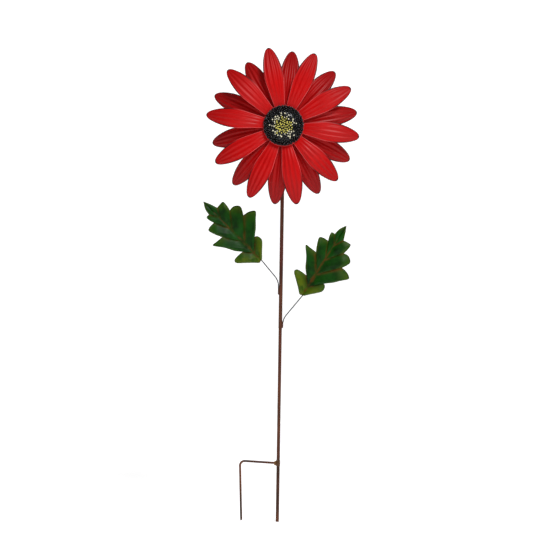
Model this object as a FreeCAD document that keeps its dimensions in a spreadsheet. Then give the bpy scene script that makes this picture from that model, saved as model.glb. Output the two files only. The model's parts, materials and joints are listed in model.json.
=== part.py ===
import FreeCAD, Part
import math
import os

import Sketcher
from FreeCAD import Placement, Rotation, Vector

# Garden wind spinner: a two-layer steel flower on a two-piece ground stake with a pair of leaves.
# Frame: millimetres, +Z up along the stake, origin at the stake's lower end, the flower faces -Y.
# "Forward" below is a distance from the stem's axis towards the viewer of the flower, so y = -forward.

DIMENSIONS = [
    # stake
    ("lower_stem_dia", 8.0),
    ("lower_stem_top", 467.0),
    ("spigot_dia", 6.7),
    ("spigot_len", 55.0),
    ("upper_stem_dia", 9.0),
    ("upper_stem_bore", 6.8),
    ("fork_rod_dia", 5.0),
    ("fork_height", 141.0),
    ("fork_bar_run", 76.5),
    ("fork_prong_run", 130.0),
    ("fork_bend_radius", 11.0),
    ("fork_bar_rise", 2.9),
    ("fork_bend", 95.0),
    ("fork_weld_dia", 15.0),
    ("fork_weld_tip_dia", 6.6),
    ("fork_weld_len", 8.0),
    ("fork_weld_inset", 2.4),
    ("weld_band_half_len", 7.0),
    ("weld_band_inner_dia", 7.3),
    ("weld_band_outer_dia", 8.8),
    # axle
    ("hub_height", 949.0),
    ("boss_dia", 12.0),
    ("boss_bore", 6.2),
    ("boss_half_len", 8.0),
    ("head_weld_foot_dia", 9.6),
    ("head_weld_top_dia", 13.0),
    ("head_weld_len", 5.0),
    ("head_weld_drop", 3.5),
    ("axle_dia", 6.0),
    ("axle_back", 15.0),
    ("nut_flats", 10.0),
    ("jam_nut_len", 5.0),
    ("cap_crown_dia", 9.2),
    ("cap_end_gap", 0.2),
    ("stop_nut_front", 31.0),
    ("head_len", 4.0),
    ("washer_dia", 14.0),
    ("washer_thick", 1.2),
    ("axial_gap", 0.35),
    # hub
    ("sleeve_back", 34.0),
    ("sleeve_front", 68.0),
    ("sleeve_dia", 12.0),
    ("bush_dia", 9.0),
    ("bush_bore", 6.1),
    ("bush_len", 10.0),
    ("bush_flange_dia", 13.0),
    ("bush_flange_thick", 1.5),
    ("plate_dia", 62.0),
    ("plate_thick", 1.2),
    ("front_plate_face", 64.0),
    ("back_plate_face", 57.0),
    # petals
    ("petal_count", 10.0),
    ("petal_thick", 0.8),
    ("petal_seat", 0.04),
    ("petal_root_radius", 15.0),
    ("petal_pad_radius", 37.0),
    ("petal_len", 151.5),
    ("petal_rise", 15.0),
    ("petal_turn", 40.0),
    ("petal_pitch", 7.0),
    ("petal_crown", 3.6),
    ("petal_rib", 0.75),
    ("petal_tip_bow", 7.0),
    ("back_petal_bend", 10.5),
    ("front_layer_angle", 100.0),
    ("back_layer_angle", 82.0),
    # seed dome
    ("dome_dia", 92.5),
    ("dome_rim", 69.4),
    ("dome_base_dia", 98.5),
    ("dome_base_bore", 40.0),
    ("dome_base_thick", 1.4),
    ("dome_height", 27.0),
    ("dome_wall", 1.6),
    ("dome_shoulder", 16.0),
    ("tack_dia", 3.0),
    ("tack_len", 1.2),
    ("tack_inset", 3.0),
    # leaves
    ("leaf_len", 195.0),
    ("leaf_thick", 1.0),
    ("leaf_gap", 0.2),
    ("leaf_fold", 0.10),
    ("leaf_droop", 7.0),
    ("left_leaf_angle", 136.2),
    ("left_leaf_x", -47.8),
    ("left_leaf_z", 630.4),
    ("right_leaf_angle", 59.3),
    ("right_leaf_x", 52.6),
    ("right_leaf_z", 546.5),
    # leaf wires
    ("wire_dia", 2.6),
    ("wire_bend_radius", 38.0),
    ("wire_weld_len", 15.0),
    ("wire_weld_dia", 4.4),
    ("wire_weld_stand_off", 0.2),
    ("wire_side_gap", 0.02),
    ("wire_behind_leaf", 38.0),
    ("left_wire_foot", 548.0),
    ("left_wire_angle", 130.5),
    ("right_wire_foot", 468.0),
    ("right_wire_angle", 51.0),
    # how far a cutting tool runs past what it cuts
    ("overcut", 1.0),
]

# Half-widths of a petal at distances from the hub's centre, measured on the flat blank.
PETAL_OUTLINE = [
    (15.0, 4.2),
    (28.0, 7.6),
    (38.0, 10.2),
    (50.0, 12.8),
    (78.0, 17.8),
    (106.0, 22.4),
    (132.0, 23.8),
    (152.0, 21.6),
    (168.0, 17.6),
    (180.0, 12.6),
    (188.0, 7.0),
]

# The leaf's edge in its own plane, from the stalk round both sides to the tip, one list per lobe.
# The first number runs along the midrib; the second is positive on the left-hand side of the midrib.
LEAF_LEFT_LOBES = [
    [(0, 3), (6, 16), (22, 36), (37, 46), (43, 46), (46.5, 36), (45.6, 18)],
    [(45.6, 18), (60, 29), (82, 40.5), (105, 56), (105.5, 44), (104, 27)],
    [(104, 27), (121, 34.5), (137, 38.3), (141.5, 30), (141.7, 16.3)],
    [(141.7, 16.3), (152, 19.6), (162.5, 19.8), (163.7, 11.3)],
    [(163.7, 11.3), (179, 7.8), (195, -2)],
]
LEAF_RIGHT_LOBES = [
    [(0, 3), (2, -6), (13, -16), (26, -30), (39, -33), (48, -32), (50.5, -28)],
    [(50.5, -28), (62, -44), (76, -58), (90, -72), (98.5, -65), (103, -54), (104.2, -45.2)],
    [(104.2, -45.2), (117, -53), (126, -54.5), (134, -47), (136.5, -39), (135.5, -31)],
    [(135.5, -31), (147, -34), (160.5, -34.3), (162, -24.5), (161.2, -14.6)],
    [(161.2, -14.6), (179, -8.8), (195, -2)],
]

doc = FreeCAD.newDocument("wind_spinner")
sheet = doc.addObject("Spreadsheet::Sheet", "Dimensions")
for row, (alias, value) in enumerate(DIMENSIONS, start=1):
    sheet.set("A%d" % row, alias)
    sheet.set("B%d" % row, str(value))
    sheet.setAlias("B%d" % row, alias)
doc.recompute()

SIZE = dict(DIMENSIONS)
MIDLINE_STEPS = 400
parts = []


def keep(obj, label):
    """Names an object as a sub-part that gets a file of its own."""
    obj.Label = label
    parts.append(obj)
    return obj


def sheet_words(formula):
    """Formula with each of the sheet's aliases written as a cell of the sheet."""
    words = formula.replace("(", " ( ").replace(")", " ) ").split()
    return " ".join("Dimensions." + word if word in SIZE else word for word in words)


def bind(obj, **formulas):
    """Binds an object's properties to formulas written with the sheet's aliases."""
    for name, formula in formulas.items():
        obj.setExpression(name, sheet_words(formula))


def facing_forward(forward):
    """Placement that turns a primitive's own Z axis forward at hub height, from a distance forward."""
    return Placement(Vector(0, -forward, SIZE["hub_height"]), Rotation(Vector(1, 0, 0), 90))


def axle_cylinder(name, diameter, back, front):
    """Cylinder along the flower's axis between two distances forward of the stem."""
    rod = doc.addObject("Part::Cylinder", name)
    rod.Placement = Placement(Vector(0, 0, 0), Rotation(Vector(1, 0, 0), 90))
    bind(rod, Radius="%s / 2" % diameter, Height="%s - ( %s )" % (front, back))
    rod.setExpression("Placement.Base.y", "-1 * (%s)" % sheet_words(back))
    rod.setExpression("Placement.Base.z", "Dimensions.hub_height")
    return rod


def cut(name, base, *tools):
    """Base with the tools taken away, one after another."""
    for index, tool in enumerate(tools):
        result = doc.addObject("Part::Cut", "%s_cut%d" % (name, index + 1))
        result.Base = base
        result.Tool = tool
        base = result
    return base


def fuse(name, *shapes):
    result = doc.addObject("Part::MultiFuse", name)
    result.Shapes = list(shapes)
    result.Refine = True
    return result


def ring(name, outer, inner, back, front):
    """Tube or washer along the flower's axis."""
    body = axle_cylinder(name + "_outside", outer, back, front)
    hole = axle_cylinder(name + "_bore", inner, "( %s ) - overcut" % back, "( %s ) + overcut" % front)
    return cut(name, body, hole)


def hex_block(name, back, front):
    """Hexagonal prism along the flower's axis, nut_flats across its flats."""
    prism = doc.addObject("Part::Prism", name)
    prism.Polygon = 6
    prism.Placement = Placement(Vector(0, 0, 0), Rotation(Vector(1, 0, 0), 90))
    bind(prism, Circumradius="nut_flats / 1.7320508", Height="%s - ( %s )" % (front, back))
    prism.setExpression("Placement.Base.y", "-1 * (%s)" % sheet_words(back))
    prism.setExpression("Placement.Base.z", "Dimensions.hub_height")
    return prism


def origin_plane(body, role):
    return next(f for f in body.Origin.OriginFeatures if f.Role == role)


def sketch_on(body, role, name):
    sketch = body.newObject("Sketcher::SketchObject", name)
    sketch.AttachmentSupport = [(origin_plane(body, role), "")]
    sketch.MapMode = "FlatFace"
    return sketch


def dimension(sketch, name, kind, refs, value, formula):
    """Adds a sketch dimension and binds it to the sheet."""
    index = sketch.addConstraint(Sketcher.Constraint(kind, *refs, value))
    sketch.renameConstraint(index, name)
    sketch.setExpression("Constraints." + name, sheet_words(formula))


def rod_body(label, diameter, start, runs, bend_radius, turn, heading=0.0):
    """Round rod bent once in the XZ plane: it sets out along its heading, turns by an angle and runs on.

    start is (x, z); runs are the two straight lengths as (value, formula) pairs. heading and turn are
    in degrees from +Z, positive towards +X."""
    body = doc.addObject("PartDesign::Body", label)
    path = sketch_on(body, "XZ_Plane", label + "_path")
    side = math.copysign(1.0, turn)
    angle = math.radians(abs(turn))
    radius = bend_radius[0]
    first = Vector(0, runs[0][0], 0)
    centre = first + Vector(side * radius, 0, 0)
    last = centre + Vector(-side * radius * math.cos(angle), radius * math.sin(angle), 0)
    end = last + Vector(side * math.sin(angle), math.cos(angle), 0) * runs[1][0]
    path.addGeometry(Part.LineSegment(Vector(0, 0, 0), first))
    normal = Vector(0, 0, 1)
    if side > 0:
        arc = Part.ArcOfCircle(Part.Circle(centre, normal, radius), math.pi - angle, math.pi)
        ends = (2, 1)
    else:
        arc = Part.ArcOfCircle(Part.Circle(centre, normal, radius), 0, angle)
        ends = (1, 2)
    path.addGeometry(arc)
    path.addGeometry(Part.LineSegment(last, end))
    path.addConstraint(Sketcher.Constraint("Coincident", 0, 1, -1, 1))
    path.addConstraint(Sketcher.Constraint("Vertical", 0))
    path.addConstraint(Sketcher.Constraint("Tangent", 0, 2, 1, ends[0]))
    path.addConstraint(Sketcher.Constraint("Tangent", 1, ends[1], 2, 1))
    dimension(path, "first_run", "Distance", (0,), runs[0][0], runs[0][1])
    dimension(path, "bend", "Radius", (1,), radius, bend_radius[1])
    dimension(path, "last_run", "Distance", (2,), runs[1][0], runs[1][1])
    lean = math.remainder(math.pi / 2 - side * angle, 2 * math.pi)
    path.addConstraint(Sketcher.Constraint("Angle", 2, lean))
    profile = sketch_on(body, "XY_Plane", label + "_profile")
    profile.addGeometry(Part.Circle(Vector(0, 0, 0), Vector(0, 0, 1), SIZE[diameter] / 2))
    profile.addConstraint(Sketcher.Constraint("Coincident", 0, 3, -1, 1))
    dimension(profile, "section", "Diameter", (0,), SIZE[diameter], diameter)
    pipe = body.newObject("PartDesign::AdditivePipe", label + "_pipe")
    pipe.Profile = profile
    pipe.Spine = (path, ["Edge1", "Edge2", "Edge3"])
    body.Placement = Placement(Vector(start[0], 0, start[1]), Rotation(Vector(0, 1, 0), heading))
    return keep(body, label)


def interpolated(rows):
    surface = Part.BSplineSurface()
    surface.interpolate(rows)
    return surface


def solid_between(front_rows, back_rows):
    """Closed solid between two point grids that run the same way."""
    front = interpolated(front_rows)
    back = interpolated(back_rows)
    faces = [front.toShape(), back.toShape()]
    u0, u1, v0, v1 = front.bounds()
    for iso, value in (("uIso", u0), ("uIso", u1), ("vIso", v0), ("vIso", v1)):
        first = getattr(front, iso)(value).toShape()
        second = getattr(back, iso)(value).toShape()
        faces.append(Part.makeRuledSurface(first, second))
    shell = Part.Shell(faces)
    shell.sewShape()
    solid = Part.Solid(shell)
    if solid.Volume < 0:
        solid.reverse()
    return solid


def between(table, place):
    """Smooth value of a (place, value) table."""
    low = max(index for index, row in enumerate(table[:-1]) if row[0] <= place + 1e-9)
    x0, y0 = table[low]
    x1, y1 = table[low + 1]

    def slope(index):
        before = table[max(index - 1, 0)]
        after = table[min(index + 1, len(table) - 1)]
        return (after[1] - before[1]) / (after[0] - before[0])

    step = x1 - x0
    f = (place - x0) / step
    hermite = (2 * f**3 - 3 * f**2 + 1) * y0 + (f**3 - 2 * f**2 + f) * step * slope(low)
    return hermite + (3 * f**2 - 2 * f**3) * y1 + (f**3 - f**2) * step * slope(low + 1)


def smooth_step(low, high, value):
    f = min(max((value - low) / (high - low), 0.0), 1.0)
    return f * f * (3 - 2 * f)


def petal_midline(bend):
    """Places (outwards, forward, slope) along a petal's middle at even steps of its length.

    The pad is flat; past it the blade rises forward and arches back by petal_turn in all."""
    flat_len = SIZE["petal_pad_radius"] - SIZE["petal_root_radius"]
    step = (flat_len + SIZE["petal_len"]) / MIDLINE_STEPS
    rise = math.radians(SIZE["petal_rise"] - bend)
    turn = math.radians(SIZE["petal_turn"])
    out = SIZE["petal_root_radius"]
    lift = 0.0
    line = [(out, lift, 0.0)]
    for index in range(MIDLINE_STEPS):
        distance = (index + 0.5) * step
        arch = rise - turn * max(distance - flat_len, 0.0) / SIZE["petal_len"]
        slope = arch * smooth_step(flat_len - 6.0, flat_len + 12.0, distance)
        out += step * math.cos(slope)
        lift += step * math.sin(slope)
        line.append((out, lift, slope))
    return line


def petal_point(along, across, midline):
    """Point of a petal's front face: along is 0 at the root and 1 at the tip, across is -1 to 1.

    X runs outwards, Y across the petal and Z forward from the plate."""
    root = SIZE["petal_root_radius"]
    total = SIZE["petal_pad_radius"] - root + SIZE["petal_len"]
    half = between(PETAL_OUTLINE, root + along * (PETAL_OUTLINE[-1][0] - root))
    bow = SIZE["petal_tip_bow"] * across**2 * smooth_step(0.8, 1.0, along)
    place = (along - bow / total) * MIDLINE_STEPS
    low = min(int(place), MIDLINE_STEPS - 1)
    out, lift, slope = (
        a + (b - a) * (place - low) for a, b in zip(midline[low], midline[low + 1])
    )
    grown = smooth_step(0.13, 0.45, along)
    closing = 1.0 - smooth_step(0.9, 1.0, along)
    crown = SIZE["petal_crown"] * grown * (0.5 - across**2)
    ribs = SIZE["petal_rib"] * grown * closing * math.cos(5 * math.pi * across)
    pitch = math.radians(SIZE["petal_pitch"]) * smooth_step(0.13, 0.42, along)
    height = crown + ribs
    side = across * half
    forward = lift + height * math.cos(slope) + side * math.sin(pitch)
    return Vector(out - height * math.sin(slope), side * math.cos(pitch), forward + SIZE["petal_thick"])


def petal_solid(bend):
    """One stamped petal: flat welding pad, then an arched, ribbed and slightly pitched blade."""
    midline = petal_midline(bend)
    steps_along = 36
    steps_across = 20
    front_rows = []
    back_rows = []
    back_shift = Vector(0, 0, -SIZE["petal_thick"])
    for i in range(steps_along + 1):
        along = i / steps_along
        row = [petal_point(along, 2 * j / steps_across - 1, midline) for j in range(steps_across + 1)]
        front_rows.append(row)
        back_rows.append([point + back_shift for point in row])
    return solid_between(front_rows, back_rows)


def add_petals():
    """Two rings of petals, the back ring half a step round and bent further back."""
    count = int(SIZE["petal_count"])
    layers = (
        ("front_petal", 0.0, SIZE["front_plate_face"], SIZE["front_layer_angle"]),
        ("back_petal", SIZE["back_petal_bend"], SIZE["back_plate_face"], SIZE["back_layer_angle"]),
    )
    for name, bend, forward, first_angle in layers:
        master = petal_solid(bend)
        for index in range(count):
            angle = first_angle - 360.0 * index / count
            petal = doc.addObject("Part::Feature", "%s_%02d" % (name, index + 1))
            petal.Shape = master
            turn = Rotation(Vector(0, 1, 0), -angle) * Rotation(Vector(1, 0, 0), 90)
            seat = forward + SIZE["petal_seat"]
            petal.Placement = Placement(Vector(0, -seat, SIZE["hub_height"]), turn)
            keep(petal, "%s_%02d" % (name, index + 1))


def add_hub():
    """Sleeve, bushes, plates and the seed dome: everything but the petals that turns."""
    keep(ring("hub_sleeve", "sleeve_dia", "bush_dia", "sleeve_back", "sleeve_front"), "hub_sleeve")
    rear_end = "sleeve_back - bush_flange_thick"
    front_end = "sleeve_front + bush_flange_thick"
    bushes = (
        ("rear_bush", ("sleeve_back", "sleeve_back + bush_len"), (rear_end, "sleeve_back")),
        ("front_bush", ("sleeve_front - bush_len", "sleeve_front"), ("sleeve_front", front_end)),
    )
    for name, barrel_ends, flange_ends in bushes:
        barrel = axle_cylinder(name + "_barrel", "bush_dia", *barrel_ends)
        flange = axle_cylinder(name + "_flange", "bush_flange_dia", *flange_ends)
        bore = axle_cylinder(name + "_bore", "bush_bore", rear_end + " - overcut", front_end + " + overcut")
        keep(cut(name, fuse(name + "_blank", barrel, flange), bore), name)
    for name, face in (("front_hub_plate", "front_plate_face"), ("back_hub_plate", "back_plate_face")):
        keep(ring(name, "plate_dia", "sleeve_dia", face + " - plate_thick", face), name)


def add_dome():
    """Hollow seed dome: a crown and a rounder shoulder turned about the flower's axis, then its tacks."""
    half = SIZE["dome_dia"] / 2
    height = SIZE["dome_height"]
    wall = SIZE["dome_wall"]
    shoulder = SIZE["dome_shoulder"]
    shoulder_centre = Vector(half - shoulder, 0, 0)
    crown = (shoulder_centre.x**2 + height**2 - shoulder**2) / (2 * (height - shoulder))
    crown_centre = Vector(0, height - crown, 0)
    meeting = math.atan2(crown - height, shoulder_centre.x)

    body = doc.addObject("PartDesign::Body", "seed_dome")
    section = sketch_on(body, "XZ_Plane", "dome_section")
    axis = Vector(0, 0, 1)
    for inset in (0.0, wall):
        rim = Part.Circle(shoulder_centre, axis, shoulder - inset)
        section.addGeometry(Part.ArcOfCircle(rim, 0, meeting))
        top = Part.Circle(crown_centre, axis, crown - inset)
        section.addGeometry(Part.ArcOfCircle(top, meeting, math.pi / 2))
    section.addGeometry(Part.LineSegment(Vector(0, height - wall, 0), Vector(0, height, 0)))
    section.addGeometry(Part.LineSegment(Vector(half - wall, 0, 0), Vector(half, 0, 0)))
    for rim_arc, top_arc, end in ((0, 1, 2), (2, 3, 1)):
        section.addConstraint(Sketcher.Constraint("Tangent", rim_arc, 2, top_arc, 1))
        section.addConstraint(Sketcher.Constraint("Coincident", rim_arc, 1, 5, end))
        section.addConstraint(Sketcher.Constraint("Coincident", top_arc, 2, 4, end))
        section.addConstraint(Sketcher.Constraint("PointOnObject", 5, end, -1))
        section.addConstraint(Sketcher.Constraint("PointOnObject", 4, end, -2))
    section.addConstraint(Sketcher.Constraint("PointOnObject", 0, 3, -1))
    section.addConstraint(Sketcher.Constraint("PointOnObject", 1, 3, -2))
    section.addConstraint(Sketcher.Constraint("Coincident", 0, 3, 2, 3))
    section.addConstraint(Sketcher.Constraint("Coincident", 1, 3, 3, 3))
    dimension(section, "shoulder", "Radius", (0,), shoulder, "dome_shoulder")
    dimension(section, "rim_radius", "DistanceX", (-1, 1, 5, 2), half, "dome_dia / 2")
    dimension(section, "top_height", "DistanceY", (-1, 1, 4, 2), height, "dome_height")
    dimension(section, "rim_wall", "DistanceX", (5, 1, 5, 2), wall, "dome_wall")
    turned = body.newObject("PartDesign::Revolution", "dome_turned")
    turned.Profile = section
    turned.ReferenceAxis = (section, ["V_Axis"])
    turned.Angle = 360
    body.Placement = facing_forward(SIZE["dome_rim"])
    body.setExpression("Placement.Base.y", "-1 * Dimensions.dome_rim")
    keep(body, "seed_dome")
    base_back = "dome_rim - dome_base_thick"
    keep(ring("dome_base", "dome_base_dia", "dome_base_bore", base_back, "dome_rim"), "dome_base")
    beads = []
    for index in range(int(SIZE["petal_count"])):
        angle = math.radians(SIZE["front_layer_angle"] - 360.0 * index / SIZE["petal_count"])
        radius = SIZE["dome_dia"] / 2 - SIZE["tack_inset"]
        bead = doc.addObject("Part::Cylinder", "dome_tack_%02d" % (index + 1))
        bind(bead, Radius="tack_dia / 2", Height="tack_len")
        back = SIZE["dome_rim"] - SIZE["dome_base_thick"] - SIZE["tack_len"]
        place = Vector(radius * math.cos(angle), -back, SIZE["hub_height"] + radius * math.sin(angle))
        bead.Placement = Placement(place, Rotation(Vector(1, 0, 0), 90))
        beads.append(bead)
    group = doc.addObject("Part::Compound", "dome_tacks")
    group.Links = beads
    keep(group, "dome_tacks")


def add_axle():
    """Fixed axle bolt with its head under the dome, clamped to the boss on top of the stem."""
    tip = "-1 * axle_back"
    head_back = "sleeve_front + bush_flange_thick + axial_gap + washer_thick"
    shank = axle_cylinder("axle_shank", "axle_dia", tip, head_back + " + overcut")
    head = hex_block("axle_head", head_back, head_back + " + head_len")
    keep(fuse("axle_bolt", shank, head), "axle_bolt")
    front = "sleeve_front + bush_flange_thick + axial_gap"
    rings = (
        ("front_washer", "washer_dia", front, front + " + washer_thick"),
        ("rear_washer", "washer_dia", "stop_nut_front", "stop_nut_front + washer_thick"),
    )
    for name, outer, back, end in rings:
        keep(ring(name, outer, "axle_dia", back, end), name)
    nuts = (
        ("stop_nut", "stop_nut_front - jam_nut_len", "stop_nut_front"),
        ("jam_nut", "boss_half_len", "boss_half_len + jam_nut_len"),
    )
    for name, back, end in nuts:
        bore = axle_cylinder(name + "_bore", "axle_dia", "( %s ) - overcut" % back, "( %s ) + overcut" % end)
        keep(cut(name, hex_block(name + "_hex", back, end), bore), name)
    hexagon = hex_block("cap_nut_hex", "-1 * boss_half_len - jam_nut_len", "-1 * boss_half_len")
    crown = doc.addObject("Part::Sphere", "cap_nut_crown")
    crown.Angle1 = 0
    crown.Placement = Placement(Vector(0, 0, 0), Rotation(Vector(1, 0, 0), -90))
    bind(crown, Radius="cap_crown_dia / 2")
    crown.setExpression("Placement.Base.y", sheet_words("boss_half_len + jam_nut_len"))
    crown.setExpression("Placement.Base.z", "Dimensions.hub_height")
    bore = axle_cylinder("cap_nut_bore", "axle_dia", "-1 * axle_back - cap_end_gap", "0")
    keep(cut("cap_nut", fuse("cap_nut_blank", hexagon, crown), bore), "cap_nut")


def add_stem():
    """Lower rod with its spigot, and the upper tube with its cross boss."""
    lower = doc.addObject("Part::Cylinder", "lower_rod")
    bind(lower, Radius="lower_stem_dia / 2", Height="lower_stem_top")
    spigot = doc.addObject("Part::Cylinder", "spigot_rod")
    bind(spigot, Radius="spigot_dia / 2", Height="lower_stem_top + spigot_len")
    blank = fuse("lower_stem_blank", lower, spigot)
    keep(cut("lower_stem", blank, weld_band("weld_seat", "lower_stem_dia + overcut")), "lower_stem")

    tube = doc.addObject("Part::Cylinder", "upper_tube")
    bind(tube, Radius="upper_stem_dia / 2", Height="hub_height - lower_stem_top")
    tube.setExpression("Placement.Base.z", "Dimensions.lower_stem_top")
    bore = doc.addObject("Part::Cylinder", "upper_bore")
    bind(bore, Radius="upper_stem_bore / 2", Height="hub_height - lower_stem_top + overcut")
    bore.setExpression("Placement.Base.z", "Dimensions.lower_stem_top - Dimensions.overcut")
    cope = axle_cylinder("upper_cope", "boss_dia", "-1 * boss_half_len", "boss_half_len")
    keep(cut("upper_stem", tube, bore, cope), "upper_stem")
    boss = ring("head_boss", "boss_dia", "boss_bore", "-1 * boss_half_len", "boss_half_len")
    keep(boss, "head_boss")

    bead = doc.addObject("Part::Cone", "head_weld_bead")
    bind(bead, Radius1="head_weld_foot_dia / 2", Radius2="head_weld_top_dia / 2", Height="head_weld_len")
    bead.setExpression("Placement.Base.z", sheet_words("hub_height - boss_dia / 2 - head_weld_drop"))
    stem_space = doc.addObject("Part::Cylinder", "head_weld_stem_space")
    bind(stem_space, Radius="upper_stem_dia / 2", Height="hub_height")
    boss_space = axle_cylinder("head_weld_boss_space", "boss_dia", "-1 * boss_half_len", "boss_half_len")
    keep(cut("head_weld", bead, stem_space, boss_space), "head_weld")


def weld_band(name, outer):
    """Ring round the lower rod where the fork's weld has melted into it."""
    outside = doc.addObject("Part::Cylinder", name + "_outside")
    bind(outside, Radius="( %s ) / 2" % outer, Height="2 * weld_band_half_len")
    inside = doc.addObject("Part::Cylinder", name + "_inside")
    bind(inside, Radius="weld_band_inner_dia / 2", Height="2 * weld_band_half_len")
    for cylinder in (outside, inside):
        cylinder.setExpression("Placement.Base.z", sheet_words("fork_height - weld_band_half_len"))
    return cut(name, outside, inside)


def add_fork():
    """Bent rod beside the stake that stops it turning in the soil, with its weld."""
    start = (-SIZE["lower_stem_dia"] / 2, SIZE["fork_height"])
    heading = SIZE["fork_bar_rise"] - 90.0
    rod_body(
        "ground_fork",
        "fork_rod_dia",
        start,
        ((SIZE["fork_bar_run"], "fork_bar_run"), (SIZE["fork_prong_run"], "fork_prong_run")),
        (SIZE["fork_bend_radius"], "fork_bend_radius"),
        -SIZE["fork_bend"],
        heading,
    )
    bead = doc.addObject("Part::Cone", "fork_weld_bead")
    bind(bead, Radius1="fork_weld_dia / 2", Radius2="fork_weld_tip_dia / 2", Height="fork_weld_len")
    bead.Placement = Placement(Vector(0, 0, 0), Rotation(Vector(0, 1, 0), -90))
    bead.setExpression("Placement.Base.x", "-1 * Dimensions.fork_weld_inset")
    bead.setExpression("Placement.Base.z", "Dimensions.fork_height")
    blank = fuse("fork_weld_blank", bead, weld_band("fork_weld_band", "weld_band_outer_dia"))
    stem_space = doc.addObject("Part::Cylinder", "fork_weld_stem_space")
    bind(stem_space, Radius="weld_band_inner_dia / 2", Height="lower_stem_top")
    bar_space = doc.addObject("Part::Cylinder", "fork_weld_bar_space")
    bind(bar_space, Radius="fork_rod_dia / 2", Height="fork_bar_run")
    bar_space.Placement = Placement(Vector(start[0], 0, start[1]), Rotation(Vector(0, 1, 0), heading))
    keep(cut("fork_weld", blank, stem_space, bar_space), "fork_weld")


def leaf_frame(side):
    """Placement of a leaf: its X along the midrib, Y to the left of it and Z forward."""
    angle = SIZE[side + "_leaf_angle"]
    turn = Rotation(Vector(0, 1, 0), -angle) * Rotation(Vector(1, 0, 0), 90)
    forward = SIZE["wire_dia"] / 2 + SIZE["leaf_gap"]
    return Placement(Vector(SIZE[side + "_leaf_x"], -forward, SIZE[side + "_leaf_z"]), turn)


def leaf_sheet():
    """Thick curved sheet that the leaf is cut from: folded along the midrib, its tip drooping back."""
    length = SIZE["leaf_len"]
    margin = 12.0
    widest = (-90.0, 70.0)
    steps = 12
    front_rows = []
    back_rows = []
    for i in range(steps + 1):
        x = (length + 2 * margin) * i / steps - margin
        front_row = []
        back_row = []
        for j in range(steps + 1):
            y = widest[0] + (widest[1] - widest[0]) * j / steps
            fold = SIZE["leaf_fold"] * (math.sqrt(y * y + 36.0) - 6.0)
            droop = SIZE["leaf_droop"] * (max(x, 0.0) / length) ** 2
            lift = fold - droop
            front_row.append(Vector(x, y, lift + SIZE["leaf_thick"]))
            back_row.append(Vector(x, y, lift))
        front_rows.append(front_row)
        back_rows.append(back_row)
    return solid_between(front_rows, back_rows)


def lobe_edge(points):
    """Smooth edge through one lobe's points."""
    curve = Part.BSplineCurve()
    curve.interpolate([Vector(x, y, 0) for x, y in points])
    return curve.toShape()


def leaf_solid():
    """Serrated leaf blank cut out of the curved sheet."""
    left = [lobe_edge(points) for points in LEAF_LEFT_LOBES]
    right = [lobe_edge(points) for points in LEAF_RIGHT_LOBES]
    outline = Part.Wire(Part.__sortEdges__(left + right))
    deep_enough = 40.0
    blank = Part.Face(outline).extrude(Vector(0, 0, 2 * deep_enough))
    blank.translate(Vector(0, 0, -deep_enough))
    return leaf_sheet().common(blank).Solids[0]


def add_leaves():
    """Two copies of the same leaf, each on a bent wire that is welded to the side of the stem."""
    master = leaf_solid()
    for side in ("left", "right"):
        leaf = doc.addObject("Part::Feature", side + "_leaf")
        leaf.Shape = master
        leaf.Placement = leaf_frame(side)
        keep(leaf, side + "_leaf")
        add_leaf_wire(side)


def add_leaf_wire(side):
    """Wire that starts along the stem, bends once and runs on behind the leaf; its foot has a weld."""
    turn = 90.0 - SIZE[side + "_wire_angle"]
    hand = math.copysign(1.0, turn)
    angle = math.radians(abs(turn))
    radius = SIZE["wire_bend_radius"]
    foot_x = hand * (SIZE["upper_stem_dia"] / 2 + SIZE["wire_dia"] / 2 + SIZE["wire_side_gap"])
    foot_z = SIZE[side + "_wire_foot"]
    sideways = abs(SIZE[side + "_leaf_x"] - foot_x) - radius * (1 - math.cos(angle))
    run_out = sideways / math.sin(angle)
    rise = radius * math.sin(angle) + run_out * math.cos(angle)
    straight = SIZE[side + "_leaf_z"] - foot_z - rise
    behind = SIZE["wire_behind_leaf"]
    wire = rod_body(
        side + "_leaf_wire",
        "wire_dia",
        (foot_x, foot_z),
        ((straight, "%.3f" % straight), (run_out + behind, "%.3f + wire_behind_leaf" % run_out)),
        (radius, "wire_bend_radius"),
        turn,
    )
    name = side + "_wire_weld"
    bead = doc.addObject("Part::Cylinder", name + "_bead")
    bind(bead, Radius="wire_weld_dia / 2", Height="wire_weld_len")
    bead.Placement = Placement(Vector(0, 0, foot_z), Rotation())
    stand_off = sheet_words("upper_stem_dia / 2 + wire_weld_stand_off")
    bead.setExpression("Placement.Base.x", "%g * (%s)" % (hand, stand_off))
    stem_space = doc.addObject("Part::Cylinder", name + "_stem_space")
    bind(stem_space, Radius="upper_stem_dia / 2", Height="hub_height")
    keep(cut(name, bead, stem_space, wire), name)


add_stem()
add_fork()
add_axle()
add_hub()
add_petals()
add_dome()
add_leaves()
doc.recompute()

for obj in doc.Objects:
    if "Invalid" in obj.State or "Error" in obj.State:
        raise RuntimeError("%s failed: %s" % (obj.Label, obj.State))
for obj in parts:
    shape = obj.Shape
    if shape.isNull() or not shape.isValid() or shape.Volume <= 0:
        raise RuntimeError("%s has no valid shape" % obj.Label)
os.makedirs("parts", exist_ok=True)
for obj in parts:
    obj.Shape.exportStep("parts/%s.step" % obj.Label)
    box = obj.Shape.BoundBox
    print(
        "%-18s solids %2d volume %9.1f  x %7.1f %7.1f  y %7.1f %7.1f  z %7.1f %7.1f"
        % (obj.Label, len(obj.Shape.Solids), obj.Shape.Volume,
           box.XMin, box.XMax, box.YMin, box.YMax, box.ZMin, box.ZMax)
    )
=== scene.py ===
import json
import math
import random

import bpy
from mathutils import Euler, Matrix, Vector, noise


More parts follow.
